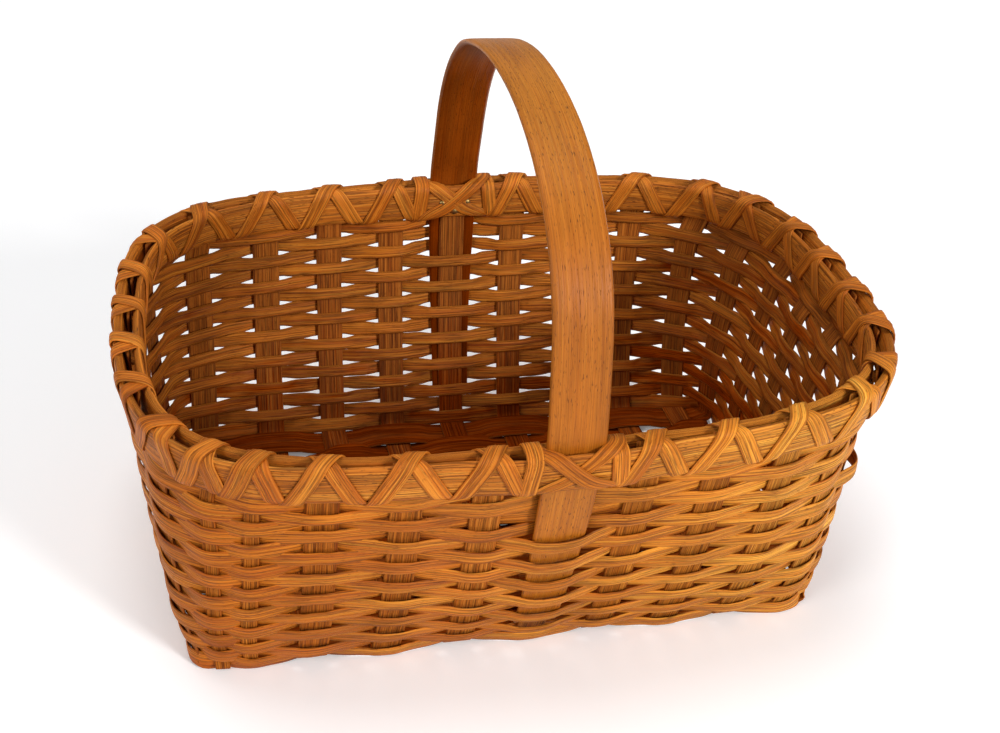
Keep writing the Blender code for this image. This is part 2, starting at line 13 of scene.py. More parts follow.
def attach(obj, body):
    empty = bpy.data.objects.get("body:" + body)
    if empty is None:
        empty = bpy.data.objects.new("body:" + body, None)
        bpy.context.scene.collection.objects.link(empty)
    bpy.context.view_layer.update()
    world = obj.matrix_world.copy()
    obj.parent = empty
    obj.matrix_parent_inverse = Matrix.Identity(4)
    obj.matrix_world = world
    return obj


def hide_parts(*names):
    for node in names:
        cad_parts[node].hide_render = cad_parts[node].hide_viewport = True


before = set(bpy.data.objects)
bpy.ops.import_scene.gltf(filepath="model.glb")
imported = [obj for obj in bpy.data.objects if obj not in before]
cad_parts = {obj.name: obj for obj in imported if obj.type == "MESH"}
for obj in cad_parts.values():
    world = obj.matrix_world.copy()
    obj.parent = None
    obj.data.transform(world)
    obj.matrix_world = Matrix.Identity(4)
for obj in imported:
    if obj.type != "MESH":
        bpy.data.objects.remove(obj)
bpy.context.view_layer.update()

MM = 0.001
random = np.random.default_rng(5)

# The wall, as in the solids.
RIM_LENGTH, RIM_WIDTH, RIM_HEIGHT, RIM_RISE = 273.6 * MM, 194 * MM, 110.3 * MM, 3.9 * MM
BASE_LENGTH, BASE_WIDTH = 248 * MM, 140 * MM
BULGE_SHARE = 0.8
BASE_SQUARENESS, LEFT_SQUARENESS, RIGHT_SQUARENESS, SQUARENESS_EASE = 24, 3.7, 3.2, 0.6
STAKE_THICK, STAKE_WIDTH, GAP = 1.0 * MM, 11 * MM, 0.3 * MM
BASE_MIDDLE = 1.5 * STAKE_THICK + GAP
LAYER = STAKE_THICK + GAP
WALL_HEIGHT = RIM_HEIGHT - BASE_MIDDLE
CROSS_COUNT, LONG_COUNT = 9, 6
CROSS_REACH, LONG_REACH, LONG_HEAD_REACH = 109 * MM, 61.8 * MM, 64 * MM
FORK_FOOT, FORK_HEAD, TONGUE_WIDTH = 5 * MM, 6.9 * MM, 5.4 * MM
FILLER_WIDTH = 14.6 * MM
LONG_SPARE, FAR_SPARE = 3.4 * MM, 4.2 * MM      # how much wider long stakes are on the base
SLOTS = (-69 * MM, 95 * MM)      # where daylight shows beside the farthest filler
SLOT_NARROW, SLOT_ASIDE = 6.6 * MM, 2.1 * MM
BASE_STEP = 3 * MM
SLIT_STEPS = 8              # steps along the base, from the front bend
TURN_UP = 2.4 * MM
CORNER_PULL, CORNER_DROP = 3.2 * MM, 2.0 * MM      # how the tongues' bend at the corner stands out
PRESS = 0.16 * MM           # how far weavers push an upright in and out

# Weave.
WEAVER_THICK = 1.0 * MM
# A weaver's width at the front, the far wall and the ends: its share of the rows' spacing as it
# passes a stake, and half way between two stakes.
FRONT_FILL, FAR_FILL, END_FILL = (1.06, 1.22), (0.91, 1.09), (1.02, 1.18)
CORNER_FILL = 0.19          # and what the near corners add to it
FOOT_WIDER = 0.17           # how much wider the lowest row is
TAPER = 4                   # stations along which the spiral's ends are shaved to nothing
FIRST_ROW, LAST_ROW, TURNS = 4.2 * MM, 92.0 * MM, 16
ROW_SETTLE = 4
WEAVE_SWING = 1.5 * MM
# How much more it swings at the far wall, at the ends' top and over a stake's middle.
FAR_SWING, TOP_SWING, CROWN = 0.12, 0.15, 0.12
HOLD_SHORT = (1.5 * MM, 0.7 * MM)      # it changes sides this far before a stake's edge
FAR_HOLD = 2.3 * MM         # and this much later at the far wall
LOOP_ROW, LOOP_STATION, LOOP_RISE = 11, 9.95, 3.6 * MM      # slack at the near right corner
TAIL_FREE_ROWS = 4          # top rows that all pass behind the handle's front tail
WEAVER_STEP = 1.9 * MM
TIGHT_POWER = 2.4           # how sharply it bends round a stake at the far wall and the ends

# Rim.
HOOP_HEIGHT, OUTER_THICK, INNER_THICK = 14.8 * MM, 3.5 * MM, 3.0 * MM
LASHING_THICK, LASHING_WIDTH = 0.75 * MM, 6.4 * MM
END_SPREAD = 2.3 * MM       # round the ends the two strands lie this far aside over the top
STRAP_CLEAR = 0.6 * MM      # between a strand and the handle beside it
STRAND_STEPS, HOLD = 36, 0.16      # HOLD: how long it stays at a hole beside the handle

# How a long diagonal at the handle climbs from its hole to the top: along its way, along the rim
# and round it. It runs a little along the hoop's edge before it climbs.
DIAGONAL = np.array(((0, 0, 0), (0.08, 0.06, 0.24), (0.4, 0.38, 0.36), (0.92, 1, 1), (1, 1, 1)))
CORNER_SLACK = 2.4 * MM
HOOP_TILT = (0.05, 1.15)    # share of that slack at the outer hoop's foot and at its top

# Handle.
STRAP_WIDTH, STRAP_THICK = 20.7 * MM, 2.4 * MM
TAIL_WIDTH, TAIL_THICK, TAIL_FOOT = 16.5 * MM, 1.1 * MM, 17 * MM
ARCH_RISE, ARCH_SPAN, ARCH_SIDE_POWER, ARCH_TOP_POWER = 90.5 * MM, 191.4 * MM, 2.12, 2.75
ARCH_SETTLE = 28 * MM

INNER_OFFSET = (STAKE_THICK + INNER_THICK) / 2 + GAP
OUTER_OFFSET = (STAKE_THICK + OUTER_THICK) / 2 + GAP
STRAP_OFFSET = (STAKE_THICK + STRAP_THICK) / 2 + GAP
FOOT_SHARE = 1 - HOOP_HEIGHT / WALL_HEIGHT
FRONT, RIGHT, BACK, LEFT = range(4)


def mix(low, high, share):
    return low + (high - low) * share


def ease(share):
    share = np.clip(share, 0, 1)
    return share * share * (3 - 2 * share)


def hump(place, middle, width, power=2):
    return np.exp(-((place - middle) / width) ** power)


def unit(vectors):
    return vectors / np.linalg.norm(vectors, axis=-1, keepdims=True)


def wander(places, length, waves=5):
    """A smooth random curve, about -1 to 1, whose slowest wave is about length long."""
    total = np.zeros_like(np.asarray(places, float))
    for wave in range(waves):
        stretch = length / (1 + 0.83 * wave)
        total += np.sin(2 * pi * (places / stretch + random.random())) / (1 + 0.7 * wave)
    return total / 1.9


# The wall's middle surface.

def half_sizes(share):
    flare = share + BULGE_SHARE * share * (1 - share)
    return mix(BASE_LENGTH, RIM_LENGTH, flare) / 2, mix(BASE_WIDTH, RIM_WIDTH, flare) / 2


def at_end(x):
    """How far round one of the basket's ends a place is, from 0 along the sides to 1."""
    return ease((np.abs(x) / (RIM_LENGTH / 2) - 0.5) / 0.35)


def squareness(share, along_x):
    rim = np.where(along_x < 0, 1 / LEFT_SQUARENESS, 1 / RIGHT_SQUARENESS)
    return 1 / mix(1 / BASE_SQUARENESS, rim, np.maximum(share, 0) ** SQUARENESS_EASE)


def wall(angle, share):
    """Points of the wall at angles round it and shares of its height."""
    angle, share = np.broadcast_arrays(np.asarray(angle, float), np.asarray(share, float))
    length, width = half_sizes(share)
    c, s = np.cos(angle), np.sin(angle)
    power = squareness(share, c)
    radius = (np.abs(c / length) ** power + np.abs(s / width) ** power) ** (-1 / power)
    x, y = radius * c, radius * s
    z = BASE_MIDDLE + share * (WALL_HEIGHT + RIM_RISE * x / (RIM_LENGTH / 2))
    return np.stack((x, y, z), -1)


def wall_frame(angle, share):
    """Points with directions along (anticlockwise), up and out of the wall.

    Round the ends the wall's top stands out, half way to the slack outer hoop.
    """
    turn, lift = 1e-3, 1e-3
    along = unit(wall(angle + turn, share) - wall(angle - turn, share))
    up = wall(angle, share + lift) - wall(angle, share - lift)
    out = unit(np.cross(along, up))
    points = wall(angle, share)
    slack = at_end(points[..., 0]) * ease((share - 0.55) / 0.35) * CORNER_SLACK / 2
    return points + out * slack[..., None], along, np.cross(out, along), out


class Station:
    """One upright in the wall."""

    def __init__(self, side, foot, head, width, strap=False):
        self.side, self.foot, self.head, self.width, self.strap = side, foot, head, width, strap
        self.number = self.corner = 0

    def angle(self, share):
        share = np.asarray(share, float)
        place = mix(self.foot, self.head, share)
        length, width = half_sizes(share)
        way, on_end = -1 if self.side in (FRONT, LEFT) else 1, self.side in (LEFT, RIGHT)
        if on_end:
            length, width = width, length
        power = squareness(share, np.full_like(place, way) if on_end else place)
        across = way * width * (1 - np.minimum(np.abs(place / length), 1) ** power) ** (1 / power)
        return np.arctan2(place, across) if on_end else np.arctan2(across, place)


CROSS_PLACES = np.linspace(-CROSS_REACH, CROSS_REACH, CROSS_COUNT)
LONG_PLACES = np.linspace(-LONG_REACH, LONG_REACH, LONG_COUNT)
LONG_HEADS = np.linspace(-LONG_HEAD_REACH, LONG_HEAD_REACH, LONG_COUNT)


def all_stations():
    first, middle = CROSS_PLACES[0], CROSS_COUNT // 2
    made = [Station(FRONT, first + way * FORK_FOOT, first + way * FORK_HEAD, TONGUE_WIDTH)
            for way in (-1, 1)]
    made += [Station(FRONT, x, x, STAKE_WIDTH, index == middle)
             for index, x in enumerate(CROSS_PLACES) if index]
    made += [Station(RIGHT, y, head, STAKE_WIDTH) for y, head in zip(LONG_PLACES, LONG_HEADS)]
    made += [Station(BACK, x, x, STAKE_WIDTH, index == middle)
             for index, x in list(enumerate(CROSS_PLACES))[::-1]]
    made += [Station(LEFT, y, head, STAKE_WIDTH)
             for y, head in zip(LONG_PLACES[::-1], LONG_HEADS[::-1])]
    return made


STATIONS = all_stations()
COUNT = len(STATIONS)
for number, station in enumerate(STATIONS):
    station.number = number
STATIONS[0].corner, STATIONS[1].corner = 0.9, 0.2
FRONT_COUNT = sum(1 for station in STATIONS if station.side == FRONT)
LAST_FULL = TURNS * COUNT + FRONT_COUNT      # the last crossing at full width
CROSSINGS = np.arange(-TAPER, LAST_FULL + TAPER + 1)


# Meshes.

# Painted light: how much lighter the front's right half is painted.
PAINTED_RIGHT_LIGHT = 0.12      # how much lighter the front's right half is

# How far the old basket has settled: its left and right ends, their feet, the foot of the front and
# the handle's far shoulder.
END_MOVES, FOOT_MOVES = (-2.8 * MM, -4.6 * MM), (2.6 * MM, -4.5 * MM)
FRONT_MOVE, SHOULDER_RISE = -1.5 * MM, 1.4 * MM


def in_scene(name, data):
    made = bpy.data.objects.new(name, data)
    bpy.context.scene.collection.objects.link(made)
    return made


def settle(points):
    """Bends all pieces alike, a few millimetres, the way the old basket has settled."""
    x, y, z = np.moveaxis(points, -1, 0)
    left, right = ease((-x - 70 * MM) / (60 * MM)), ease((x - 70 * MM) / (60 * MM))
    front = ease((-y - 30 * MM) / (30 * MM))
    low = 1 - ease((z - 84 * MM) / (16 * MM))
    rim_end = hump(y, -12 * MM, 42 * MM)
    foot = (1 - ease(z / (25 * MM))) * ease(-y / (60 * MM))
    away_x = (left * (END_MOVES[0] * (low + (1 - low) * rim_end) + FOOT_MOVES[0] * foot)
              + right * (END_MOVES[1] * low * ease((z + 20 * MM) / (60 * MM))
                         + FOOT_MOVES[1] * foot))
    away_y = FRONT_MOVE * front * (1 - ease((z - 20 * MM) / (60 * MM)))
    shoulder = hump(y, 62 * MM, 18 * MM) * (z > 150 * MM)
    points = points + np.stack((away_x, away_y, SHOULDER_RISE * shoulder), -1)
    points[..., 2] = np.maximum(points[..., 2], 0)
    return points


def skin(name, grid, grain, tone, material):
    """A closed tube from rings of points, with three attributes for its material.

    grain holds (along, across) of each point, tone its shade, partly painted shade and light, and
    side_light the painted light on the front: 1 where its right is painted lighter and yellower,
    -1 where its left is painted darker and redder.
    """
    grid = settle(grid)
    x, y, z = np.moveaxis(grid, -1, 0)
    front = ease((-y - 50 * MM) / (30 * MM))
    # Painted light: the front's right is painted lighter and yellower, its left darker and redder.
    tone = tone + PAINTED_RIGHT_LIGHT * (ease((x + 10 * MM) / (110 * MM)) * front)
    side_light = mix(-1, 1, ease((x + 130 * MM) / (205 * MM))) * front
    side_light = np.where(side_light < 0, side_light * ease((98 * MM - z) / (8 * MM)), side_light)
    count, ring = grid.shape[:2]
    index = np.arange(count * ring).reshape(count, ring)
    near, far = index[:-1], index[1:]
    faces = np.stack((near, np.roll(near, -1, 1), np.roll(far, -1, 1), far), -1).reshape(-1, 4)
    mesh = bpy.data.meshes.new(name)
    polygons = faces.tolist() + [index[0][::-1].tolist(), index[-1].tolist()]
    mesh.from_pydata(grid.reshape(-1, 3).tolist(), [], polygons)
    mesh.polygons.foreach_set("use_smooth", np.ones(len(polygons), bool))
    seeds = np.full((count, ring, 1), random.random() * 40)
    shift = random.random(2) * (7, 0.4)
    for key, kind, field, values in (
            ("grain", "FLOAT_VECTOR", "vector", np.concatenate((grain + shift, seeds), -1)),
            ("tone", "FLOAT", "value", np.broadcast_to(tone, (count, ring))),
            ("side_light", "FLOAT", "value", side_light)):
        made = mesh.attributes.new(key, kind, "POINT")
        made.data.foreach_set(field, values.astype(np.float32).ravel())
    mesh.update()
    mesh.materials.append(material)
    return in_scene(name, mesh)


def soften(line):
    """One pass of smoothing along a line, which keeps its ends."""
    line[1:-1] = (line[:-2] + 2 * line[1:-1] + line[2:]) / 4


def run_along(points):
    """How far along a path each of its points lies."""
    return np.concatenate(([0], np.cumsum(np.linalg.norm(np.diff(points, axis=0), axis=1))))


def square_to(heading, vectors):
    return unit(vectors - heading * (vectors * heading).sum(-1, keepdims=True))


def spread_out(points):
    """Places across a splint, closer together at its rounded edges."""
    return np.sin(np.linspace(-pi / 2, pi / 2, points)) * 0.35 + np.linspace(-1, 1, points) * 0.65


def section(points, power_over, power_under, points_under=9):
    """Points round a splint's section: places across from -1 to 1 and heights from -1 to 1."""
    across, below = spread_out(points), spread_out(points_under)[-2:0:-1]
    over = (1 - np.abs(across) ** power_over) ** (1 / power_over)
    under = (1 - np.abs(below) ** power_under) ** (1 / power_under)
    return np.concatenate((across, below)), np.concatenate((over, -under))


def ribs(places, along, half_width, pitch):
    """Lengthwise fibres, about -1 to 1 high, with sharp grooves between them that drift."""
    across = places * half_width[:, None]
    drift = wander(along, 160 * MM, 3)[:, None] * pitch * 0.25
    fat = 1 + 0.45 * np.sin(2 * pi * (across / (pitch * 3.3) + random.random()))
    ridges = np.abs(np.sin(pi * ((across + drift) / pitch + random.random()))) ** 0.7 * 2 - 1.3
    fine = np.sin(2 * pi * ((across - drift) / (pitch * 0.47) + random.random()))
    fade = 0.75 + 0.35 * wander(along, 45 * MM)[:, None]
    return (0.75 * ridges * fat + 0.25 * fine) * fade


def strip(name, centres, side, out, width, thick, material, tone, points, rib, pitch, power_over,
          power_under, cup=0.0, inside=0.0, points_under=9, groove=0.12, edge_dirt_and_shade=0.10,
          ragged=0.022):
    """A splint swept along its middle line, with ribs along it and slightly uneven edges.

    inside is added to the tone of its under side; the callers mostly use it for painted shade.
    groove darkens grooves with dirt and painted shade and lightens ridges, a painted highlight;
    edge_dirt_and_shade darkens the edges with dirt and painted shade.
    """
    along = run_along(centres)
    places, heights = section(points, power_over, power_under, points_under)
    width = np.broadcast_to(width, along.shape)
    thick = np.broadcast_to(thick, along.shape)
    half = width / 2
    edge = 1 + ragged * wander(along, 30 * MM)
    offset = places * (half * edge)[:, None]
    fibres = ribs(places, along, half, pitch) * (np.abs(heights) > 0.3)
    height = heights * (thick / 2)[:, None] + rib * fibres * np.sign(heights)
    height = height + cup * (1 - places ** 2)
    # Dirt and painted shade in grooves and at edges, a little painted highlight on the ridges.
    tone = tone + groove * np.minimum(fibres, 0.3) + inside * (heights < 0) \
        - edge_dirt_and_shade * np.abs(places) ** 6
    grid = centres[:, None] + side[:, None] * offset[..., None] + out[:, None] * height[..., None]
    grain = np.stack((np.broadcast_to(along[:, None], offset.shape),
                      offset + 0.02 * (heights < 0)), -1)
    return skin(name, grid, grain, tone, material)


# Materials.

def new_material(name):
    made = bpy.data.materials.new(name)
    made.use_nodes = True
    return made, made.node_tree, made.node_tree.nodes["Principled BSDF"]


def feed(tree, socket, value):
    """Gives a socket a number, a colour or a link."""
    if isinstance(value, (int, float)):
        socket.default_value = value
    elif isinstance(value, tuple):
        socket.default_value = (*value, 1)
    else:
        tree.links.new(value, socket)


def socket_math(tree, operation, *values, clamp=False):
    made = tree.nodes.new("ShaderNodeMath")
    made.operation = operation
    made.use_clamp = clamp
    for index, value in enumerate(values):
        feed(tree, made.inputs[index], value)
    return made.outputs[0]


def noise(tree, vector, scale, detail, rough):
    stretch = tree.nodes.new("ShaderNodeVectorMath")
    stretch.operation = "MULTIPLY"
    tree.links.new(vector, stretch.inputs[0])
    stretch.inputs[1].default_value = scale
    made = tree.nodes.new("ShaderNodeTexNoise")
    made.inputs["Scale"].default_value = 1
    made.inputs["Detail"].default_value = detail
    made.inputs["Roughness"].default_value = rough
    tree.links.new(stretch.outputs[0], made.inputs["Vector"])
    return made.outputs["Fac"]


def ramp(tree, value, stops):
    made = tree.nodes.new("ShaderNodeValToRGB")
    made.color_ramp.elements[0].position, made.color_ramp.elements[-1].position = 0, 1
    while len(made.color_ramp.elements) < len(stops):
        made.color_ramp.elements.new(0.5)
    for element, (place, colour) in zip(made.color_ramp.elements, stops):
        element.position = place
        element.color = (*colour, 1) if isinstance(colour, tuple) else (colour,) * 3 + (1,)
    tree.links.new(value, made.inputs["Fac"])
    return made.outputs["Color"]


def blend(tree, factor, first, second, kind="MIX"):
    made = tree.nodes.new("ShaderNodeMix")
    made.data_type = "RGBA"
    made.blend_type = kind
    for index, value in ((0, factor), (6, first), (7, second)):
        feed(tree, made.inputs[index], value)
    return made.outputs[2]


def attribute(tree, name, output="Fac"):
    made = tree.nodes.new("ShaderNodeAttribute")
    made.attribute_name = name
    return made.outputs[output]


def hickory(name, dark, mid, light, roughness, fibre, contrast, bump, pores, patina, lines, broad,
            gloss=0.14, side_light_share=1.0):
    """Old split hickory: fibres, thin dark lines and pores along the grain, and a blotchy tone.

    fibre is how many fibres lie across a metre, broad the share of the wide ones. patina, lines and
    pores say how strongly each of these shows, side_light_share how much of the painted side light
    it shows.
    """
    made, tree, shader = new_material(name)

    def step(operation):
        return lambda *values, clamp=False: socket_math(tree, operation, *values, clamp=clamp)

    plus, minus, times = (step(operation) for operation in ("ADD", "SUBTRACT", "MULTIPLY"))
    vector, tone = attribute(tree, "grain", "Vector"), attribute(tree, "tone")
    side_light = attribute(tree, "side_light")
    place = tree.nodes.new("ShaderNodeNewGeometry").outputs["Position"]
    streaks = noise(tree, vector, (16, fibre, 1), 3, 0.6)
    wide = noise(tree, vector, (6, fibre * 0.22, 1), 2, 0.5)
    blotch = noise(tree, vector, (26, 90, 1), 2, 0.5)
    pore = noise(tree, vector, (400, fibre * 1.1, 1), 1, 0.5)
    grime = noise(tree, place, (38, 38, 38), 4, 0.6)
    both = plus(times(streaks, 1 - broad), times(wide, broad))
    low, high = 0.5 - 0.17 / contrast, 0.5 + 0.17 / contrast
    colour = ramp(tree, both, ((low, dark), ((low + high) / 2, mid), (high, light)))
    shade = plus(times(blotch, patina * 1.6), times(grime, patina * 1.4))
    shade = plus(minus(1 + patina * 1.5, shade), tone)
    split = noise(tree, vector, (22, fibre * 0.55, 1), 2, 0.5)
    split = times(step("ABSOLUTE")(minus(split, 0.5)), 16, clamp=True)
    lined = plus(times(split, lines), 1 - lines)
    value = tree.nodes.new("ShaderNodeHueSaturation")
    tree.links.new(colour, value.inputs["Color"])
    tree.links.new(times(shade, lined), value.inputs["Value"])
    # Pores in patches; redder where the tone is low, mostly painted shade; paler and bluer where
    # it is high, partly random tone and partly painted light and sheen; then the painted side
    # light.
    pits = ramp(tree, pore, ((0.30, 1.0), (0.37, 0.0)))
    patch = minus(times(grime, 4), 1.15, clamp=True)
    pits = times(pits, times(patch, pores))
    final = blend(tree, pits, value.outputs[0], tuple(c * 0.35 for c in dark))
    shade_reddening = minus(times(tone, -5), 1.3, clamp=True)
    pale_and_sheen = times(tone, 4, clamp=True)
    for share, tint in ((shade_reddening, (1.02, 0.55, 0.25)), (pale_and_sheen, (1.04, 1.38, 2.1)),
                        (times(side_light, side_light_share, clamp=True), (1.07, 1.18, 1.1)),
                        (times(side_light, -side_light_share, clamp=True), (0.90, 0.79, 0.54))):
        final = blend(tree, share, final, tint, "MULTIPLY")
    tree.links.new(final, shader.inputs["Base Color"])
    tree.links.new(plus(times(wide, 0.25), roughness - 0.12), shader.inputs["Roughness"])
    height = plus(times(streaks, 0.7), times(split, 0.5))
    bumped = tree.nodes.new("ShaderNodeBump")
    bumped.inputs["Strength"].default_value = bump
    bumped.inputs["Distance"].default_value = 0.6 * MM
    tree.links.new(minus(height, times(pits, 0.5)), bumped.inputs["Height"])
    tree.links.new(bumped.outputs[0], shader.inputs["Normal"])
    shine = plus(times(tone, 8), 3.5, clamp=True)
    tree.links.new(times(shine, gloss), shader.inputs["Specular IOR Level"])
    return made


def old_brass():
    made, tree, shader = new_material("old brass")
    place = tree.nodes.new("ShaderNodeNewGeometry").outputs["Position"]
    spots = noise(tree, place, (900, 900, 900), 3, 0.6)
    tree.links.new(ramp(tree, spots, ((0.35, (0.25, 0.14, 0.04)), (0.6, (0.62, 0.43, 0.16)))),
                   shader.inputs["Base Color"])
    tree.links.new(ramp(tree, spots, ((0.35, 0.6), (0.65, 0.32))), shader.inputs["Roughness"])
    shader.inputs["Metallic"].default_value = 1.0
    return made


STAKE_WOOD = hickory(
    "stake hickory", (0.22, 0.044, 0.003), (0.42, 0.110, 0.009), (0.56, 0.175, 0.020),
    roughness=0.66, fibre=2000, contrast=1.3, bump=0.5, pores=0.4, patina=0.3, lines=0.55,
    broad=0.25)
WEAVER_WOOD = hickory(
    "weaver hickory", (0.40, 0.085, 0.006), (0.60, 0.165, 0.012), (0.73, 0.262, 0.026),
    roughness=0.54, fibre=2100, contrast=1.3, bump=0.6, pores=0.5, patina=0.3, lines=0.6,
    broad=0.35, gloss=0.17)
HOOP_WOOD = hickory(
    "hoop hickory", (0.33, 0.080, 0.006), (0.56, 0.158, 0.013), (0.72, 0.255, 0.028),
    roughness=0.54, fibre=2200, contrast=1.45, bump=0.5, pores=0.9, patina=0.3, lines=0.6,
    broad=0.35, gloss=0.16)
LASHING_WOOD = hickory(
    "lashing hickory", (0.40, 0.085, 0.005), (0.60, 0.160, 0.011), (0.74, 0.255, 0.026),
    roughness=0.52, fibre=1900, contrast=1.25, bump=0.6, pores=0.45, patina=0.25, lines=0.55,
    broad=0.35, gloss=0.16)
STRAP_WOOD = hickory(
    "handle hickory", (0.335, 0.080, 0.003), (0.43, 0.118, 0.006), (0.52, 0.162, 0.011),
    roughness=0.44, fibre=2300, contrast=0.9, bump=0.3, pores=1.0, patina=0.34, lines=0.2,
    broad=0.25, gloss=0.24, side_light_share=0.0)
BRASS = old_brass()


def place_piece(piece, slot, *nodes):
    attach(piece, "root")
    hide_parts(*nodes)


# Stakes and base.

def leg_path(station, top_share, flat_way):
    """Middle line, width directions and normals of a stake from the base edge to the rim."""
    shares = mix(TURN_UP / WALL_HEIGHT, top_share, np.linspace(0, 1, 46) ** 1.3)
    angle = station.angle(shares)
    points, along, _, out = wall_frame(angle, shares)
    foot = wall(station.angle(0), 0)
    start = foot - flat_way * TURN_UP * 1.6
    foot = foot + (flat_way * CORNER_PULL - np.array((0, 0, CORNER_DROP))) * station.corner
    end = points[0]
    steps = np.linspace(0, 1, 7)[:-1, None]
    bend = (1 - steps) ** 2 * start + 2 * steps * (1 - steps) * foot + steps ** 2 * end
    sideways = np.cross(np.array((0, 0, 1.0)), flat_way)
    side = unit(mix(sideways, along[0], steps))
    path = np.concatenate((bend, points))
    side = np.concatenate((side, along))
    heading = unit(np.gradient(path, axis=0))
    normal = unit(np.cross(side, heading))
    return path, unit(np.cross(heading, normal)), normal


def press(path, normal, station):
    """Pushes an upright slightly in and out where weavers pass it."""
    height = (path[:, 2] - FIRST_ROW) / ((LAST_ROW - FIRST_ROW) / TURNS)
    reach = ease((path[:, 2] - FIRST_ROW) / (10 * MM))
    swing = PRESS * np.sin(pi * height + pi * station.number) * reach
    return path + normal * swing[:, None]


def flat_run(start, end, level_at):
    count = max(int(np.linalg.norm(end - start) / BASE_STEP), 2)
    path = mix(start, end, np.linspace(0, 1, count)[:, None])
    path[:, 2] = level_at(path)
    return path


def base_level(x, row):
    """Height of a lengthwise splint as it passes over and under the crosswise stakes."""
    pitch = CROSS_PLACES[1] - CROSS_PLACES[0]
    phase = (x - CROSS_PLACES[0]) / pitch + row
    wave = -np.cos(pi * phase)
    return BASE_MIDDLE + LAYER * np.sign(wave) * np.abs(wave) ** 0.55


def station_for(side, foot):
    return next(s for s in STATIONS if s.side == side and abs(s.foot - foot) < 1 * MM)


def reverse(part):
    path, side, normal = part
    return path[::-1], side[::-1], normal[::-1]


def stake(node, near, near_way, far, far_way, width, tone, spare=0.0, part="",
          level_at=lambda path: BASE_MIDDLE):
    """A U-shaped stake: down one wall, along the base and up the other.

    Its part "_whole" ends where its slit begins, and any other part, a tongue, begins there.
    """
    top = 1 - 1.2 * MM / WALL_HEIGHT
    first = reverse(leg_path(near, top, near_way))
    last = leg_path(far, top, far_way)
    run = flat_run(first[0][-1], last[0][0], level_at)[1:-1]
    downs = np.broadcast_to(np.array((0, 0, -1.0)), run.shape)
    first_path = press(first[0], first[2], near)
    last_path = press(last[0], last[2], far)
    path = np.concatenate((first_path, run, last_path))
    flat = np.concatenate((np.zeros(len(first_path)), np.ones(len(run)), np.zeros(len(last_path))))
    flat = np.convolve(np.pad(flat, 3, mode="edge"), np.ones(7) / 7, "valid")
    width = width + spare * flat
    heading = unit(np.gradient(path, axis=0))
    normal = square_to(heading, np.concatenate((first[2], downs, last[2])))
    sides = unit(np.cross(normal, heading))
    if part:
        split = len(first_path) + len(run) - SLIT_STEPS
        chosen = slice(None, split + 1) if part == "_whole" else slice(split, None)
        path, sides, normal, width = path[chosen], sides[chosen], normal[chosen], width[chosen]
    # Painted shade on the stake's inside, darker towards the base.
    inside_shade = painted_inside_shade(path[:, 2] / WALL_HEIGHT, 0.10, 0.32, 1.4)
    made = strip("splint_" + node + part, path, sides, normal, width, STAKE_THICK, STAKE_WOOD, tone,
                 points=33, rib=0.05 * MM, pitch=0.8 * MM, power_over=7, power_under=7,
                 points_under=25, groove=0.16, inside=-inside_shade[:, None])
    place_piece(made, "stake_hickory", node)


def painted_inside_shade(share, least, more, power):
    """Painted shade: how much darker a splint's inside is at a share of the wall's height."""
    return least + more * np.clip(1 - share, 0, 1) ** power


def strip_tone():
    return float(np.clip(random.normal(0, 0.055), -0.13, 0.13))


X_AXIS, Y_AXIS = np.array((1.0, 0, 0)), np.array((0, 1.0, 0))


def cross_stakes():
    for number, x in enumerate(CROSS_PLACES[1:], 2):
        stake(f"cross_stake_{number}", station_for(BACK, x), Y_AXIS, station_for(FRONT, x), -Y_AXIS,
              STAKE_WIDTH, strip_tone())


def split_stake():
    """The first crosswise stake, slit into two tongues part of the way along the base."""
    node, x, tone = "cross_stake_1", CROSS_PLACES[0], strip_tone()
    stake(node, station_for(BACK, x), Y_AXIS, Station(FRONT, x, x, STAKE_WIDTH), -Y_AXIS,
          STAKE_WIDTH, tone, part="_whole")
    for lane, way in enumerate((-1, 1)):
        beside = x + way * (TONGUE_WIDTH + 0.2 * MM) / 2
        stake(node, Station(BACK, beside, beside, 1), Y_AXIS, STATIONS[lane], -Y_AXIS,
              TONGUE_WIDTH, tone, part=f"_tongue_{lane + 1}")


def long_stakes():
    for number, y in enumerate(LONG_PLACES, 1):
        stake(f"long_stake_{number}", station_for(LEFT, y), -X_AXIS, station_for(RIGHT, y), X_AXIS,
              STAKE_WIDTH, strip_tone(), FAR_SPARE if number == LONG_COUNT else LONG_SPARE,
              level_at=lambda path: base_level(path[:, 0], 0))


def fillers():
    reach = BASE_LENGTH / 2 - TURN_UP
    for number, y in enumerate((LONG_PLACES[1:] + LONG_PLACES[:-1]) / 2, 1):
        x = np.arange(-reach, reach, BASE_STEP)
        path = np.stack((x, np.full_like(x, y) + 0.3 * MM * wander(x, 120 * MM),
                         base_level(x, 1)), -1)
        heading = unit(np.gradient(path, axis=0))
        side = np.broadcast_to(Y_AXIS, path.shape)
        normal = unit(np.cross(heading, side))
        name = f"base_filler_{number}"
        narrow = sum(hump(x, slot, 11 * MM, 4) for slot in SLOTS) * (number == LONG_COUNT - 1)
        path[:, 1] -= SLOT_ASIDE * narrow
        # Painted shade: the tops are 0.4 darker for the shade on the base; the under side gets 0.34
        # back.
        made = strip("splint_" + name, path, side, normal, FILLER_WIDTH - SLOT_NARROW * narrow,
                     STAKE_THICK, STAKE_WOOD, strip_tone() - 0.4, points=13, rib=0.08 * MM,
                     pitch=1.0 * MM, power_over=7, power_under=7, inside=0.34)
        place_piece(made, "stake_hickory", name)


# Weavers.

def tail_share(height):
    """How far up the handle's tail, which is shaved thin towards its foot, a height is."""
    return ease((height - TAIL_FOOT) / (RIM_HEIGHT - TAIL_FOOT))


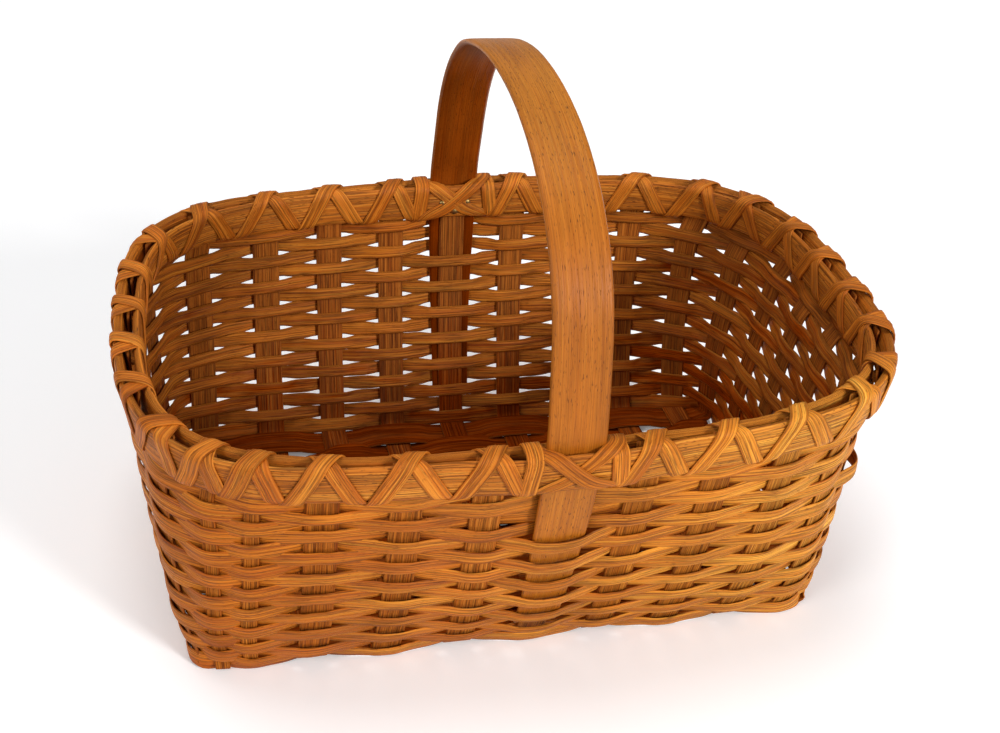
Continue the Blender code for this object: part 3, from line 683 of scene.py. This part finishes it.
def tail_thick(height):
    return mix(TAIL_THICK, STRAP_THICK, tail_share(height))


def tail_width(height):
    return mix(TAIL_WIDTH, STRAP_WIDTH, tail_share(height))


def on_tail(crossing, height):
    return STATIONS[crossing % COUNT].strap and height > TAIL_FOOT - 3 * MM


def crossing_reach(crossing, height):
    """Half the width of what a weaver passes at a crossing."""
    return (tail_width(height) if on_tail(crossing, height)
            else STATIONS[crossing % COUNT].width) / 2


def crossing_offset(crossing, height):
    """How far out of the wall a weaver's middle lies at a crossing."""
    station = STATIONS[crossing % COUNT]
    row = crossing // COUNT
    outside = (row + crossing % COUNT) % 2 == 1
    if station.strap and station.side == FRONT and row > TURNS - TAIL_FREE_ROWS:
        outside = False
    if station.strap and station.side == BACK and row == TURNS - 2:      # second from the top
        outside = True
    if not outside:
        return -WEAVE_SWING
    return WEAVE_SWING + (tail_thick(height) + 0.1 * MM if on_tail(crossing, height) else 0)


ROW_WAVES = [(random.integers(1, 5), random.uniform(0.25, 0.7), random.uniform(0, 2 * pi),
              random.uniform(0.5, 1.0)) for _ in range(6)]
SAG_PLACES = (-137, -117, -104, -82, -55, -27, 0, 27, 55, 82, 109, 137)
SAG_HEIGHTS = (0, -1.3, 0, 4.0, 1.4, -2.4, -4.6, -1.9, -0.6, 0, 0, 0)


def row_level(crossing):
    """Height of the spiral's middle and the spacing of the rows there, before they wave.

    Past the spiral's end there is one row fewer, so the rows spread to fill the wall. They close up
    again towards its start, where the lowest row climbs onto its own beginning.
    """
    row, place = np.divmod(crossing, COUNT)
    wall_room = LAST_ROW - FIRST_ROW
    close, wide = wall_room / TURNS, wall_room / (TURNS - 1)
    spread = ease((place - FRONT_COUNT) / ROW_SETTLE)
    climb = ease((place - COUNT) / ROW_SETTLE + 1)
    pitch = mix(close, wide, spread - climb)
    level = FIRST_ROW + climb * close + row * pitch
    shaved = taper(crossing)
    level = np.where(crossing < 0, FIRST_ROW - close / 2 * (1 - shaved), level)
    return np.where(crossing > LAST_FULL, LAST_ROW + close / 2 * (1 - shaved), level), pitch


def taper(crossing):
    """Width of the spiral, from 0 where its shaved ends lie under and over the other rows, to 1."""
    return ease(crossing / TAPER + 1) * ease((LAST_FULL - crossing) / TAPER + 1)


def row_height(level, turn, angle, x, y):
    """Height of the spiral, with rows that wave together."""
    rise = (level - FIRST_ROW) / (LAST_ROW - FIRST_ROW)
    bump = ease(rise / 0.22) * ease((1 - rise) / 0.2)
    waves = sum(size * np.sin(count * angle + speed * turn + phase)
                for count, speed, phase, size in ROW_WAVES) / 6
    sag = np.interp(x / MM, SAG_PLACES, SAG_HEIGHTS) * MM * ease((-y - 40 * MM) / (30 * MM))
    return level + (1.3 * MM * waves + sag) * bump


def level_share(level):
    return (level - BASE_MIDDLE) / WALL_HEIGHT


def weaver_angles():
    """The angle round the wall of every crossing, at the height at which it lies."""
    shares = level_share(row_level(CROSSINGS)[0])
    angles = np.array([STATIONS[i % COUNT].angle(share) for i, share in zip(CROSSINGS, shares)])
    return np.unwrap(angles), shares


def weave():
    angles, shares = weaver_angles()
    fine = 24
    q = np.linspace(CROSSINGS[0], CROSSINGS[-1], (len(CROSSINGS) - 1) * fine + 1)
    angle = np.interp(q, CROSSINGS, angles)
    share = np.interp(q, CROSSINGS, shares)
    points = wall(angle, share)
    run = run_along(points)
    stops = run[::fine]
    heights = row_level(CROSSINGS)[0]
    offsets = np.array([crossing_offset(i, height) for i, height in zip(CROSSINGS, heights)])
    offsets = offsets + 0.1 * MM * random.standard_normal(len(CROSSINGS))
    halves = np.array([crossing_reach(i, height) for i, height in zip(CROSSINGS, heights)])
    place = np.arange(0.4 * (stops[1] - stops[0]), run[-1] - 0.4 * (stops[-1] - stops[-2]),
                      WEAVER_STEP)
    angle, q = np.interp(place, run, angle), np.interp(place, run, q)
    whole = np.clip(np.floor(q).astype(int) + TAPER, 0, len(CROSSINGS) - 2)
    near, far = place - stops[whole], stops[whole + 1] - place
    flat = wall(angle, np.interp(place, run, share))
    end_share = at_end(flat[:, 0])
    far_share = ease((flat[:, 1] - 55 * MM) / (25 * MM))
    inner_seen = ease((flat[:, 1] + 75 * MM) / (50 * MM))
    near_corner = end_share * ease((-flat[:, 1] - 25 * MM) / (30 * MM))
    short = mix(*HOLD_SHORT, inner_seen) - FAR_HOLD * far_share
    near_hold = np.maximum(near - halves[whole] + short, 0)
    far_hold = np.maximum(far - halves[whole + 1] + short, 0)
    part = near_hold / (near_hold + far_hold)
    aside = 2 * part - 1
    between = 1 - aside ** 2
    tight = 0.5 + 0.5 * np.sign(aside) * np.abs(aside) ** TIGHT_POWER
    part = mix(mix(part, ease(part), 0.5), tight, 0.5 + 0.5 * inner_seen)
    swing = mix(offsets[whole], offsets[whole + 1], part) * (1 + FAR_SWING * far_share)
    beside = np.minimum(np.minimum(near / halves[whole], far / halves[whole + 1]), 1)
    swing = swing * (1 + CROWN * (1 - beside ** 2))
    level, pitch = row_level(q)
    waved = lambda lift: row_height(level + lift, q / COUNT, angle, flat[:, 0], flat[:, 1])
    share = level_share(waved(0))
    pitch = pitch * (waved(0.5 * MM) - waved(-0.5 * MM)) / MM
    top_share = ease((share - 0.7) / 0.15) * end_share * (swing > 0)
    centre, along, up, out = wall_frame(angle, share)
    swing = swing * (1 + TOP_SWING * top_share)
    swing += LOOP_RISE * hump(q, LOOP_ROW * COUNT + LOOP_STATION, 0.34)
    soft = swing.copy()
    for _ in range(5):
        soften(soft)
    soften(swing)
    swing = mix(swing, soft, near_corner)
    centre = centre + out * (swing + 0.12 * MM * wander(place, 70 * MM))[:, None]
    twist = 0.06 * wander(place, 55 * MM, 4)
    lean = up * np.cos(twist)[:, None] + out * np.sin(twist)[:, None]
    heading = unit(np.gradient(centre, axis=0))
    side = square_to(heading, lean)
    normal = unit(np.cross(heading, side))
    inner_fill = mix(mix(*FAR_FILL, between), mix(*END_FILL, between), end_share)
    fill = mix(mix(*FRONT_FILL, between), inner_fill, inner_seen) + CORNER_FILL * near_corner
    uneven = (1 + FOOT_WIDER * (1 - ease(q / COUNT - 0.5))
              + 0.03 * wander(place, 260 * MM) + 0.025 * wander(place, 40 * MM))
    width = fill * pitch * uneven * np.maximum(taper(q), 0.08)
    # Painted shade on the weavers' inside, darker towards the bottom and round the right end.
    inside_shade = painted_inside_shade(share, 0.12, 0.20, 1.3) + 0.12 * end_share * (flat[:, 0] > 0)
    ends = (stops[2 * COUNT * index + TAPER] for index in range(1, TURNS // 2))
    bounds = [place[0], *ends, place[-1]]
    for number, (first, last) in enumerate(zip(bounds, bounds[1:]), 1):
        chosen = (place >= first + 0.2 * MM) & (place <= last - 0.2 * MM)
        tone = 0.08 * wander(place[chosen], 300 * MM) + strip_tone() * 0.6
        name = f"weaver_{number}"
        made = strip("splint_" + name, centre[chosen], side[chosen], normal[chosen],
                     width[chosen], WEAVER_THICK, WEAVER_WOOD, tone[:, None], points=19,
                     rib=0.075 * MM, pitch=1.15 * MM, power_over=3.2, power_under=5,
                     cup=0.12 * MM, points_under=7, inside=-inside_shade[chosen][:, None])
        place_piece(made, "weaver_hickory", name)


# Rim.

HOOP_BUTT, BUTT_GAP = 0.625, 0.3 * MM      # where round the rim the hoops' ends meet, and how near
TABLE = 1440
_angles = np.linspace(-pi / 2, 1.5 * pi, TABLE + 1)
_top, _foot = wall(_angles, 1), wall(_angles, FOOT_SHARE)
_run = run_along(_top)
RIM_RUN = _run[-1]
_out = unit(np.cross(np.gradient(_top, axis=0), (0, 0, 1.0)))


def rim_point(run, share, offset):
    """Points round the rim, at a run along it, a share of the wall's height and an offset out."""
    run = np.mod(run, RIM_RUN)
    pick = lambda table: np.stack([np.interp(run, _run, table[:, axis]) for axis in range(3)], -1)
    rise = (share - FOOT_SHARE) / (1 - FOOT_SHARE)
    point = pick(_foot) + (pick(_top) - pick(_foot)) * np.asarray(rise)[..., None]
    return point + unit(pick(_out)) * np.asarray(offset)[..., None]


def outer_slack(run, share):
    x = np.abs(np.interp(np.mod(run, RIM_RUN), _run, _top[:, 0]))
    beside = (x - STRAP_WIDTH / 2 - 0.5 * MM) / (34 * MM)
    at_strap = (STRAP_THICK + GAP) * (1 - ease(beside))
    tilt = mix(*HOOP_TILT, (share - FOOT_SHARE) / (1 - FOOT_SHARE))
    return at_strap + CORNER_SLACK * tilt * at_end(x)


def hoop(name, node, offset_at, thick, outward):
    """A bent hoop, rounded on its open face, its ends butted under a lashing strand."""
    run = RIM_RUN * HOOP_BUTT + np.linspace(BUTT_GAP, RIM_RUN - BUTT_GAP, 330)
    middle = (1 + FOOT_SHARE) / 2
    wobble = 0.35 * MM * wander(run, 190 * MM)
    centre = rim_point(run, middle + wobble / WALL_HEIGHT * 0.6, offset_at(run, middle))
    high = rim_point(run, middle + 0.05, offset_at(run, middle + 0.05))
    side = unit(high - centre)
    heading = unit(np.gradient(centre, axis=0))
    normal = unit(np.cross(heading, side)) * (1 if outward else -1)
    width = HOOP_HEIGHT * (1 + 0.018 * wander(run, 160 * MM))
    tone = 0.05 * wander(run, 230 * MM)
    made = strip(name, centre, side, normal, width, thick, HOOP_WOOD, tone[:, None], points=25,
                 rib=0.06 * MM, pitch=1.4 * MM, power_over=2.6, power_under=7, groove=0.10)
    place_piece(made, "hoop_hickory", node)


# Lashing.

def station_runs():
    """How far round the rim each station stands, as runs that only grow."""
    angles = np.array([station.angle(1) for station in STATIONS])
    angles = np.where(angles < -pi / 2, angles + 2 * pi, angles)
    return np.unwrap(np.interp(angles, _angles, _run), period=RIM_RUN)


RUNS = station_runs()


def top_run(index):
    return RUNS[index % COUNT] + RIM_RUN * (index // COUNT)


def reach(index):
    station = STATIONS[index % COUNT]
    return (STRAP_WIDTH if station.strap else station.width) / 2


def hole_run(index):
    """The lashing's hole between a station and the one before it."""
    return (top_run(index - 1) + reach(index - 1) + top_run(index) - reach(index)) / 2


CONTOUR_POWER, CONTOUR_HALVES = 4.2, (6.2, 8.2)      # half its thickness and height, in millimetres
_phase = np.linspace(-pi / 2, 1.5 * pi, 721)


def contour(turn):
    """A point of the rounded section round the hoops: turn 0 is the bottom, 0.25 the outside."""
    return np.interp(np.mod(turn, 1), _turn, _cos), np.interp(np.mod(turn, 1), _turn, _sin)


def signed(value):
    return np.sign(value) * np.abs(value) ** (2 / CONTOUR_POWER)


_cos, _sin = signed(np.cos(_phase)), signed(np.sin(_phase))
_turn = run_along(np.stack((_cos, _sin), -1) * CONTOUR_HALVES)
ARC = _turn[-1] * MM
_turn = _turn / _turn[-1]


def rim_section(run, turn, proud):
    """A point on the section round both hoops, standing proud of them."""
    across, rise = contour(turn)
    share = (1 + FOOT_SHARE) / 2 + rise * (HOOP_HEIGHT / 2 + proud) / WALL_HEIGHT
    outer = OUTER_OFFSET + OUTER_THICK / 2 + outer_slack(run, share)
    inner = -(INNER_OFFSET + INNER_THICK / 2)
    return rim_point(run, share, (outer + inner) / 2 + across * ((outer - inner) / 2 + proud))


def strand_stops(forward):
    """Turns and runs that a strand passes: holes at whole turns and tops half way between."""
    stops, way = [], 1 if forward else -1
    for index in range(1, COUNT + 1)[::way]:
        station, top = STATIONS[index % COUNT], top_run(index)
        before, after = (hole_run(index), hole_run(index + 1))[::way]
        if station.strap:
            aside = way * (STRAP_WIDTH / 2 + LASHING_WIDTH / 2 + STRAP_CLEAR)
            stops += [(before, top - aside, 1),
                      (before if station.side == FRONT else after, top + aside, 1)]
        else:
            stops.append((before, top - way * END_SPREAD * (station.side in (LEFT, RIGHT)), 0))
    return stops, after


def diagonal(way):
    return [np.interp(way, DIAGONAL[:, 0], DIAGONAL[:, column]) for column in (1, 2)]


def strand(name, node, forward):
    stops, last = strand_stops(forward)
    runs, turns, lift, slim = [], [], [], []
    for number, (hole, top, hold) in enumerate(stops):
        following = stops[number + 1][0] if number + 1 < len(stops) else last
        part = np.arange(STRAND_STEPS) / STRAND_STEPS
        rising, falling = np.clip(part * 2, 0, 1), np.clip(part * 2 - 1, 0, 1)
        climb, descent = rising, falling
        crossing_outside = hold and abs(top - hole) > STRAP_WIDTH
        crossing_inside = hold and abs(following - top) > STRAP_WIDTH
        if hold:
            rising, falling = (ease((way - HOLD) / (1 - 2 * HOLD)) for way in (rising, falling))
        if crossing_outside:
            rising, climb = diagonal(climb)
        if crossing_inside:
            falling, descent = (1 - share for share in diagonal(1 - descent))
        run = hole + (top - hole) * rising + (following - top) * falling
        runs.append(run)
        turns.append(number + (climb + descent) / 2)
        if forward:
            bump = hump(part, 0.5, 0.13) + hump(part, 1, 0.10) + hump(part, 0, 0.10)
            lift.append(bump * (part > 0.36) if crossing_outside else bump)
        else:
            lift.append(1.1 * hump(part, 0.27, 0.16, 4) * crossing_outside)
        slim.append(1 - 0.16 * crossing_outside * hump(part, 0.22, 0.2, 4))
    run, turn, lift, slim = (np.concatenate(items) for items in (runs, turns, lift, slim))
    run = run + 0.5 * MM * wander(turn, 3.7)
    for _ in range(7):
        soften(run)
        soften(turn)
    flat = np.stack((run, turn * ARC), -1)
    heading, length = unit(np.gradient(flat, axis=0)), run_along(flat)
    places, heights = section(21, 3.4, 6)
    half = LASHING_WIDTH / 2 * slim * (1 + 0.07 * wander(length, 120 * MM))
    across = places * half[:, None]
    rail_run = run[:, None] + across * heading[:, 1:]
    rail_turn = turn[:, None] - across * heading[:, :1] / ARC
    fibres = ribs(places, length, half, 1.25 * MM)
    proud = 0.06 * MM + LASHING_THICK / 2 + lift[:, None] * (LASHING_THICK + 0.05 * MM)
    proud = proud + heights * LASHING_THICK / 2 + 0.08 * MM * fibres * (heights > 0.3)
    grid = rim_section(rail_run, rail_turn, proud)
    grain = np.stack((np.broadcast_to(length[:, None], across.shape), across), -1)
    # Random tone; dirt and painted shade in grooves and at edges; painted highlight on the ridges.
    tone = 0.06 * wander(length, 300 * MM)[:, None] + 0.16 * np.minimum(fibres, 0.3) \
        - 0.12 * np.abs(places) ** 6
    if forward:
        grid, grain, tone = grid[:, ::-1], grain[:, ::-1], tone[:, ::-1]
    made = skin(name, grid, grain, tone, LASHING_WOOD)
    place_piece(made, "lashing_hickory", node)


# Handle.

def handle():
    """The bent strap: up one wall, over the arch and down the other, with thin tails."""
    front, rear = (station for station in STATIONS if station.strap)

    def tail(station):
        heights = np.linspace(TAIL_FOOT, RIM_HEIGHT, 40)[:-1]
        shares = level_share(heights)
        points, _, _, out = wall_frame(station.angle(shares), shares)
        away = STAKE_THICK / 2 + 0.15 * MM + tail_thick(heights) / 2
        return points + out * away[:, None]

    near, far = tail(front), tail(rear)
    angle = np.linspace(0, pi, 150)
    c, s = np.cos(angle), np.maximum(np.sin(angle), 0)
    rise = ARCH_RISE * s ** (2 / ARCH_TOP_POWER)
    half_span = RIM_WIDTH / 2 + STRAP_OFFSET
    lean = (half_span - ARCH_SPAN / 2) * (1 - ease(rise / ARCH_SETTLE))
    y = (ARCH_SPAN / 2 * np.abs(c) ** (2 / ARCH_SIDE_POWER) + lean) * -np.sign(c)
    arch = np.stack((0 * y, y, RIM_HEIGHT + rise), -1)
    rough = np.concatenate((near, arch, far[::-1]))
    run = run_along(rough)
    place = np.linspace(0, run[-1], 210)
    path = np.stack([np.interp(place, run, rough[:, axis]) for axis in range(3)], -1)
    for _ in range(6):
        soften(path)
    path[:, 0] += 0.3 * MM * wander(place, 420 * MM, 2)
    heading = unit(np.gradient(path, axis=0))
    side = square_to(heading, np.broadcast_to(X_AXIS, path.shape))
    normal = unit(np.cross(side, heading))
    width = tail_width(path[:, 2]) * (1 + 0.012 * wander(place, 300 * MM, 2))
    thick = tail_thick(np.minimum(path[:, 2], RIM_HEIGHT))
    # Painted sheen on the arch's top, painted light on the front tail.
    top_sheen = ease((path[:, 2] - RIM_HEIGHT - 56 * MM) / (30 * MM))
    lit = (path[:, 1] < 0) * (1 - ease((path[:, 2] - RIM_HEIGHT + 20 * MM) / (30 * MM)))
    # Painted shade on the rear tail below the hoops.
    rear_tail_shade = (path[:, 1] > 0) * (path[:, 2] < RIM_HEIGHT - HOOP_HEIGHT)
    tone = 0.03 * wander(place, 180 * MM) + 0.14 * top_sheen + 0.04 * lit - 0.3 * rear_tail_shade
    # Painted shade: inside=-0.37 paints the strap's inner face darker.
    made = strip("bent_handle_strap", path, side, normal, width, thick, STRAP_WOOD,
                 tone[:, None], points=25, rib=0.02 * MM, pitch=2.3 * MM, power_over=5,
                 power_under=5, inside=-0.37, points_under=15, groove=0.03, edge_dirt_and_shade=0.06,
                 ragged=0.003)
    place_piece(made, "handle_hickory", "handle_strap")


# In millimetres: how far aside and below the rim each head lies, and its rings' radius and height.
TACK_SPOTS = (-5.4, 7.6), (5.4, 7.6), (0, 11.4)
TACK_RINGS = (1.55, -0.25), (1.6, 0.15), (1.35, 0.45), (0.9, 0.68), (0.4, 0.8)
TACK_SIDES = 20


def tacks():
    """Small domed brass heads on the inner hoop, over the strap's tails."""
    way = np.arange(TACK_SIDES) / TACK_SIDES
    turn = 2 * pi * way
    for side_name, station in zip(("front", "back"), (s for s in STATIONS if s.strap)):
        middle = RUNS[station.number]
        for number, (aside, below) in enumerate(TACK_SPOTS, 1):
            face, plane, outside = (
                rim_point(middle + aside * MM, 1 - below * MM / WALL_HEIGHT, offset)
                for offset in (-(INNER_OFFSET + INNER_THICK / 2), 0, 1))
            inward = unit(plane - outside)
            first = unit(np.cross(inward, (0, 0, 1.0)))
            second = np.cross(inward, first)
            rings = []
            for radius, height in TACK_RINGS:
                radii = (1 + 0.05 * wander(way, 1.0))[:, None] * radius * MM
                rings.append(face + inward * height * MM + np.cos(turn)[:, None] * radii * first
                             + np.sin(turn)[:, None] * radii * second)
            grid = np.array(rings)
            grain = np.zeros((*grid.shape[:2], 2))
            name = f"tack_{side_name}_{number}"
            made = skin("head_of_" + name, grid, grain, 0.0, BRASS)
            place_piece(made, "tack_brass", name)


cross_stakes()
split_stake()
long_stakes()
fillers()
weave()
hoop("bent_outer_hoop", "outer_hoop", lambda run, share: OUTER_OFFSET + outer_slack(run, share),
     OUTER_THICK, True)
hoop("bent_inner_hoop", "inner_hoop", lambda run, share: -INNER_OFFSET, INNER_THICK, False)
strand("wound_lashing_forward", "lashing_forward", True)
strand("wound_lashing_return", "lashing_return", False)
handle()
tacks()


# Stage.

FLOOR_HALF = 3.0            # in metres, as the lamps' places and sizes
FLOOR_GAP = 0.05 * MM       # keeps the floor just off the basket's feet
VIEW_WAY, VIEW_DOWN, VIEW_ROLL = radians(16.315), radians(32.951), radians(5.477)
VIEW_PLACE, LENS = (-134.6, -461.4, 389.4), 52.34      # both in millimetres


def stage():
    mesh = bpy.data.meshes.new("floor")
    mesh.from_pydata([(x * FLOOR_HALF, y * FLOOR_HALF, 0)
                      for x, y in ((-1, -1), (1, -1), (1, 1), (-1, 1))], [], [(0, 1, 2, 3)])
    floor = in_scene("floor", mesh)
    floor.location.z = -FLOOR_GAP
    pale, tree, shader = new_material("pale floor")
    rays = tree.nodes.new("ShaderNodeLightPath").outputs
    seen = socket_math(tree, "MAXIMUM", rays["Is Camera Ray"], rays["Is Glossy Ray"])
    seen = socket_math(tree, "MAXIMUM", seen, rays["Is Transmission Ray"])
    shades = blend(tree, seen, (0.80, 0.80, 0.80), (1.0, 1.0, 1.0))
    tree.links.new(shades, shader.inputs["Base Color"])
    shader.inputs["Emission Color"].default_value = (1, 1, 1, 1)
    tree.links.new(socket_math(tree, "MULTIPLY", seen, 0.14), shader.inputs["Emission Strength"])
    shader.inputs["Roughness"].default_value = 0.9
    mesh.materials.append(pale)
    world = bpy.data.worlds.new("studio")
    bpy.context.scene.world = world
    world.use_nodes = True
    tree = world.node_tree
    background = tree.nodes["Background"]
    seen = tree.nodes.new("ShaderNodeLightPath").outputs["Is Camera Ray"]
    shades = blend(tree, seen, (0.288, 0.291, 0.3), (1.0, 1.0, 1.0))
    tree.links.new(shades, background.inputs["Color"])


def lamp(name, place, target, size, power):
    data = bpy.data.lights.new(name, "AREA")
    data.shape = "DISK"
    data.size = size
    data.energy = power
    made = in_scene(name, data)
    made.location = place
    made.rotation_euler = (Vector(target) - Vector(place)).to_track_quat("-Z", "Y").to_euler()


def camera():
    level, roll = cos(VIEW_DOWN), VIEW_ROLL
    ahead = Vector((sin(VIEW_WAY) * level, cos(VIEW_WAY) * level, -sin(VIEW_DOWN)))
    right = ahead.cross(Vector((0, 0, 1))).normalized()
    up = right.cross(ahead)
    across = right * cos(roll) + up * sin(roll)
    above = up * cos(roll) - right * sin(roll)
    data = bpy.data.cameras.new("camera")
    data.sensor_fit = "HORIZONTAL"
    data.lens = LENS
    data.clip_start = 0.01
    made = in_scene("camera", data)
    placed = Matrix((across, above, -ahead)).transposed().to_4x4()
    placed.translation = Vector(VIEW_PLACE) * MM
    made.matrix_world = placed
    bpy.context.scene.camera = made


stage()
lamp("key", (2.1, -2.85, 1.75), (0, 0, 0.08), 1.0, 103)
lamp("fill", (-2.8, -1.8, 1.9), (0, 0, 0.08), 1.5, 40)
lamp("top", (-0.5, 0.5, 3.5), (0, 0, 0.05), 1.8, 48)
camera()
bpy.context.scene.view_settings.view_transform = "Standard"
